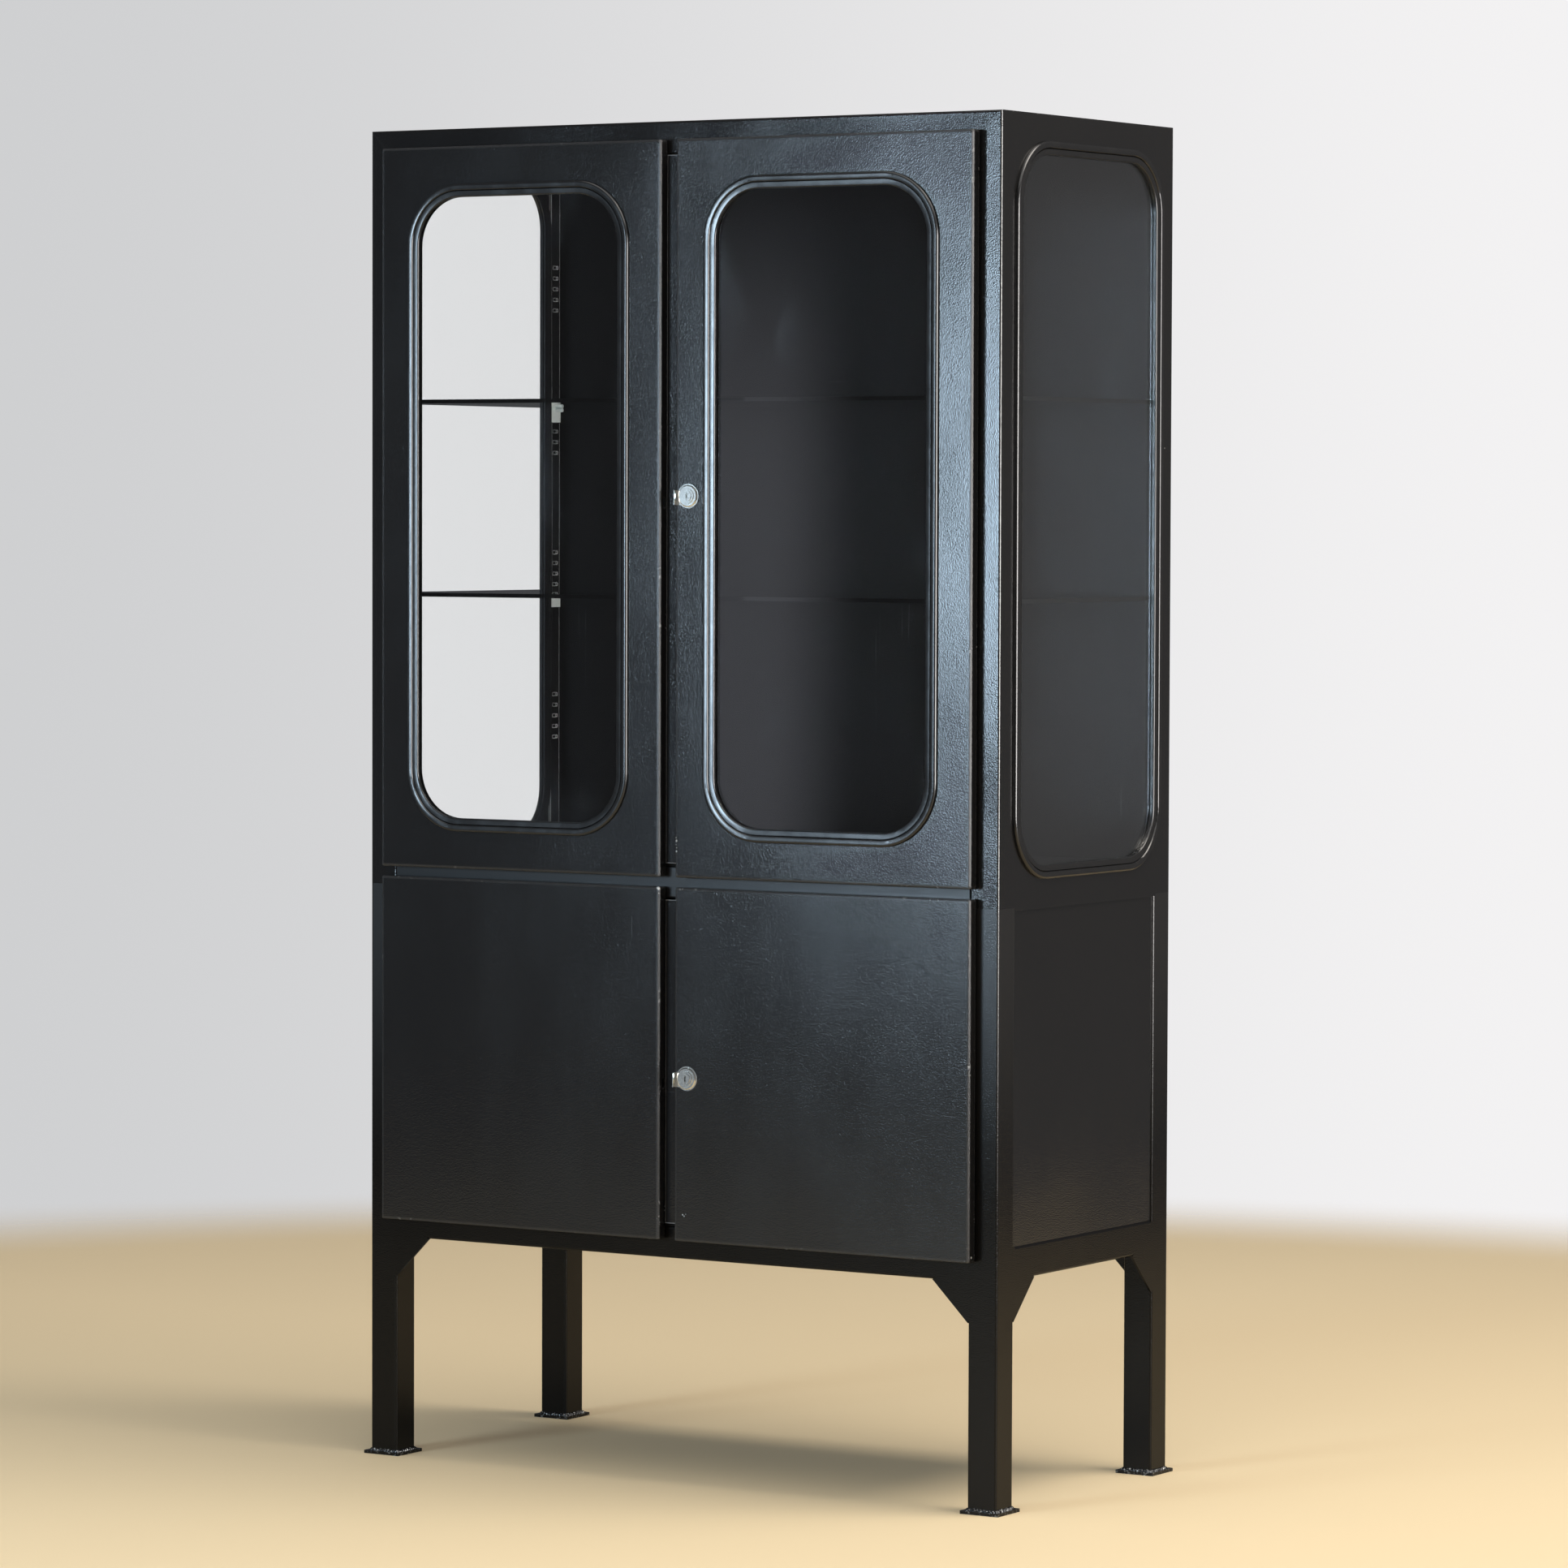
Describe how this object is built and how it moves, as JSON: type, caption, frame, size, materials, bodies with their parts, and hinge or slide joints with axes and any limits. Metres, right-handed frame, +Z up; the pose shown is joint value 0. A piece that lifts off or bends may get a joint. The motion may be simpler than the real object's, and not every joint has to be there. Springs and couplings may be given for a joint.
{
  "type": "medical cabinet",
  "caption": "Black painted steel medical cabinet on a tube stand, with glazed doors and side windows above, plain doors below, key locks and glass shelves inside.",
  "frame": {"origin": "on the floor under the middle of the cabinet's box", "axes": "+X to the right along the front, +Y from the front to the back, +Z up"},
  "size_m": [0.9326, 0.4542, 1.675],
  "materials": {
    "black_paint": "satin",
    "clear_glass": "clear",
    "shelf_glass": "clear",
    "black_rubber": "satin",
    "nickel_plate": "polished",
    "bright_steel": "satin"
  },
  "bodies": {
    "case": {"back_sheet_lower": "black_paint", "back_sheet_upper": "black_paint", "bottom_rail_front": "black_paint", "bottom_rail_left": "black_paint", "bottom_rail_rear": "black_paint", "bottom_rail_right": "black_paint", "deck": "black_paint", "floor_sheet": "black_paint", "foot_plates": "black_paint", "glass_shelf_lower": "shelf_glass", "glass_shelf_upper": "shelf_glass", "gussets": "black_paint", "hinge_arms": "black_paint", "hinge_pins": "bright_steel", "leg_front_left": "black_paint", "leg_front_right": "black_paint", "leg_rear_left": "black_paint", "leg_rear_right": "black_paint", "lower_side_sheet_left": "black_paint", "lower_side_sheet_right": "black_paint", "middle_rail_front": "black_paint", "middle_rail_left": "black_paint", "middle_rail_rear": "black_paint", "middle_rail_right": "black_paint", "shelf_clips": "bright_steel", "shelf_rails": "black_paint", "side_glass_left": "clear_glass", "side_glass_right": "clear_glass", "side_seal_left": "black_rubber", "side_seal_right": "black_rubber", "side_sheet_left": "black_paint", "side_sheet_right": "black_paint", "top_sheet": "black_paint"},
    "upper_left_door": {"upper_left_door_pan": "black_paint", "upper_left_hinge_leaves": "black_paint", "upper_slide_bolt_guide": "black_paint", "upper_left_door_seal": "black_rubber", "upper_left_door_glass": "clear_glass"},
    "upper_right_door": {"upper_right_door_pan": "black_paint", "upper_right_hinge_leaves": "black_paint", "upper_cover_strip": "black_paint", "upper_pull_plate": "nickel_plate", "upper_lock_case": "nickel_plate", "upper_right_door_seal": "black_rubber", "upper_right_door_glass": "clear_glass"},
    "lower_left_door": {"lower_left_door_pan": "black_paint", "lower_left_hinge_leaves": "black_paint", "lower_slide_bolt_guide": "black_paint"},
    "lower_right_door": {"lower_right_door_pan": "black_paint", "lower_right_hinge_leaves": "black_paint", "lower_cover_strip": "black_paint", "lower_pull_plate": "nickel_plate", "lower_lock_case": "nickel_plate"},
    "upper_lock_plug_body": {"upper_lock_plug": "nickel_plate"},
    "upper_lock_bolt_body": {"upper_lock_bolt": "bright_steel"},
    "upper_slide_bolt_body": {"upper_slide_bolt": "bright_steel"},
    "lower_lock_plug_body": {"lower_lock_plug": "nickel_plate"},
    "lower_lock_bolt_body": {"lower_lock_bolt": "bright_steel"},
    "lower_slide_bolt_body": {"lower_slide_bolt": "bright_steel"}
  },
  "joints": [
    {"name": "upper_left_door_hinge", "type": "hinge", "parent": "case", "child": "upper_left_door", "pos_m": [-0.424, -0.21265, 1.201], "axis": [0, 0, -1], "range_deg": [0, 105]},
    {"name": "upper_right_door_hinge", "type": "hinge", "parent": "case", "child": "upper_right_door", "pos_m": [0.424, -0.21265, 1.201], "axis": [0, 0, 1], "range_deg": [0, 105]},
    {"name": "upper_lock_turn", "type": "hinge", "parent": "upper_right_door", "child": "upper_lock_plug_body", "pos_m": [0.03, -0.21915, 1.217], "axis": [0, 1, 0], "range_deg": [0, 360]},
    {"name": "upper_lock_bolt_slide", "type": "slide", "parent": "upper_right_door", "child": "upper_lock_bolt_body", "axis": [-1, 0, 0], "range_m": [0, 0.0289]},
    {"name": "upper_slide_bolt_slide", "type": "slide", "parent": "upper_left_door", "child": "upper_slide_bolt_body", "axis": [0, 0, 1], "range_m": [0, 0.015]},
    {"name": "lower_left_door_hinge", "type": "hinge", "parent": "case", "child": "lower_left_door", "pos_m": [-0.424, -0.21265, 0.5205], "axis": [0, 0, -1], "range_deg": [0, 105]},
    {"name": "lower_right_door_hinge", "type": "hinge", "parent": "case", "child": "lower_right_door", "pos_m": [0.424, -0.21265, 0.5205], "axis": [0, 0, 1], "range_deg": [0, 105]},
    {"name": "lower_lock_turn", "type": "hinge", "parent": "lower_right_door", "child": "lower_lock_plug_body", "pos_m": [0.03, -0.21915, 0.504], "axis": [0, 1, 0], "range_deg": [0, 360]},
    {"name": "lower_lock_bolt_slide", "type": "slide", "parent": "lower_right_door", "child": "lower_lock_bolt_body", "axis": [-1, 0, 0], "range_m": [0, 0.0289]},
    {"name": "lower_slide_bolt_slide", "type": "slide", "parent": "lower_left_door", "child": "lower_slide_bolt_body", "axis": [0, 0, 1], "range_m": [0, 0.015]}
  ],
  "couplings": [
    {"joint": "upper_lock_bolt_slide", "follows": "upper_lock_turn", "m_per_rad": 0.0046},
    {"joint": "lower_lock_bolt_slide", "follows": "lower_lock_turn", "m_per_rad": 0.0046}
  ]
}
